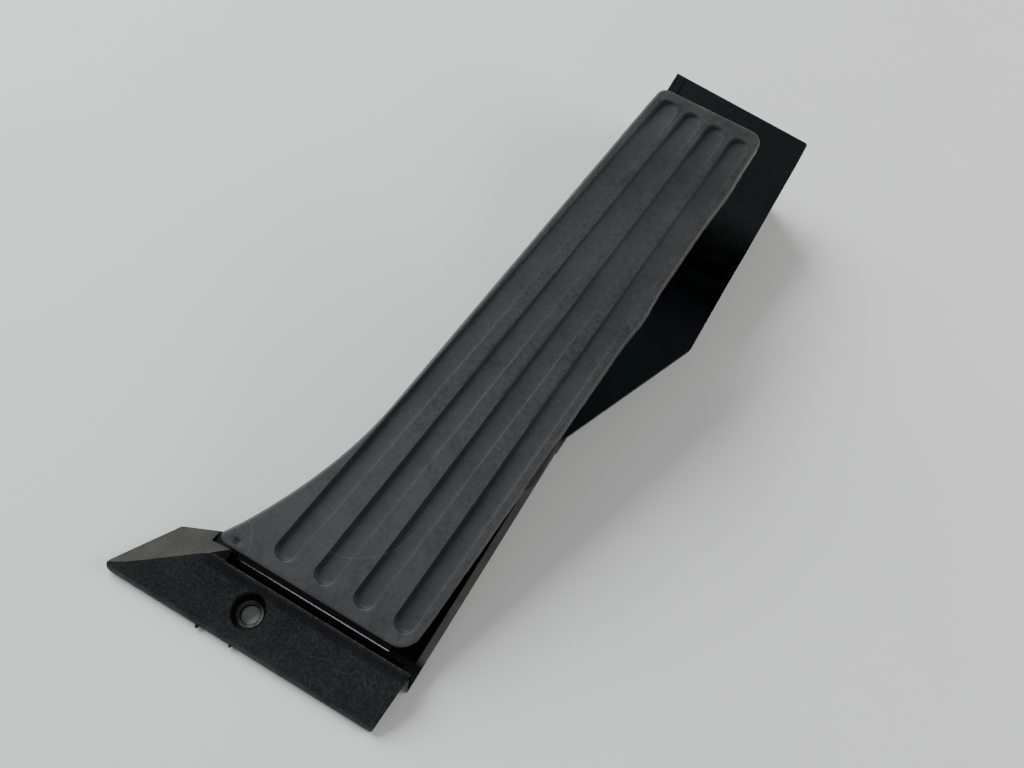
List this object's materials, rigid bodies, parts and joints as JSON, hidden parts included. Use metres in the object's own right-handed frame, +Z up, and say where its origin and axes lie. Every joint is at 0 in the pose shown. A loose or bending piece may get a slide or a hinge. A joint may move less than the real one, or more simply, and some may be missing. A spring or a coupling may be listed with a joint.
{
  "type": "accelerator pedal",
  "caption": "Floor-hinged accelerator pedal: a long grooved tread on a flat heel base with a side arm and a sensor box, roller lever, springs and connector socket.",
  "frame": {"origin": "on the axis of the heel screw hole, on the flat mounting face", "axes": "+X across the pedal to the right seen from the driver, +Y from the heel to the sensor box, +Z up out of the mounting face"},
  "size_m": [0.1422, 0.3049, 0.0862],
  "materials": {
    "base_housing": "satin, lightly scuffed",
    "side_cover": "satin",
    "cover_screws": "plated",
    "heel_sleeve": "dulled",
    "tread_pad": "matte, dusty",
    "pedal_plate": "satin",
    "slide_track": "natural, smooth",
    "hinge_strip": "smooth",
    "drive_lever": "natural, smooth",
    "lever_shaft": "ground",
    "shaft_bushes": "machined",
    "tip_roller": "smooth",
    "roller_pin": "ground",
    "outer_spring": "drawn wire",
    "inner_spring": "drawn wire",
    "friction_shoe": "smooth",
    "rest_buffer": "matte",
    "stop_buffer": "matte",
    "magnet_holder": "smooth",
    "sensor_magnet": "plated",
    "sensor_board": "coated",
    "sensor_chips": "moulded",
    "connector_socket": "satin",
    "terminals": "plated"
  },
  "bodies": {
    "housing": {"base_housing": "base_housing", "side_cover": "side_cover", "cover_screws": "cover_screws", "heel_sleeve": "heel_sleeve", "shaft_bushes": "shaft_bushes", "friction_shoe": "friction_shoe", "rest_buffer": "rest_buffer", "stop_buffer": "stop_buffer", "sensor_board": "sensor_board", "sensor_chips": "sensor_chips", "connector_socket": "connector_socket", "terminals": "terminals", "outer_spring": "outer_spring", "inner_spring": "inner_spring", "hinge_strip": "hinge_strip"},
    "pedal": {"tread_pad": "tread_pad", "pedal_plate": "pedal_plate", "slide_track": "slide_track"},
    "lever": {"drive_lever": "drive_lever", "lever_shaft": "lever_shaft", "magnet_holder": "magnet_holder", "sensor_magnet": "sensor_magnet", "roller_pin": "roller_pin"},
    "roller": {"tip_roller": "tip_roller"}
  },
  "joints": [
    {"name": "pedal_hinge", "type": "hinge", "parent": "housing", "child": "pedal", "pos_m": [0.02, 0.0109, 0.0092], "axis": [1, 0, 0], "range_deg": [-11.5, 0], "stiffness_Nm_per_rad": 21, "springref_deg": 6.88, "deforming": ["hinge_strip"]},
    {"name": "lever_turn", "type": "hinge", "parent": "housing", "child": "lever", "pos_m": [0.051, 0.226, 0.0185], "axis": [1, 0, 0], "range_deg": [0, 26.19], "deforming": ["outer_spring", "inner_spring"]},
    {"name": "roller_spin", "type": "hinge", "parent": "lever", "child": "roller", "pos_m": [0.051, 0.16029, 0.05072], "axis": [1, 0, 0], "range_deg": [-192.3, 0]}
  ],
  "couplings": [
    {"joint": "lever_turn", "follows": "pedal_hinge", "ratio": -2.2767},
    {"joint": "roller_spin", "follows": "pedal_hinge", "ratio": 16.714}
  ]
}
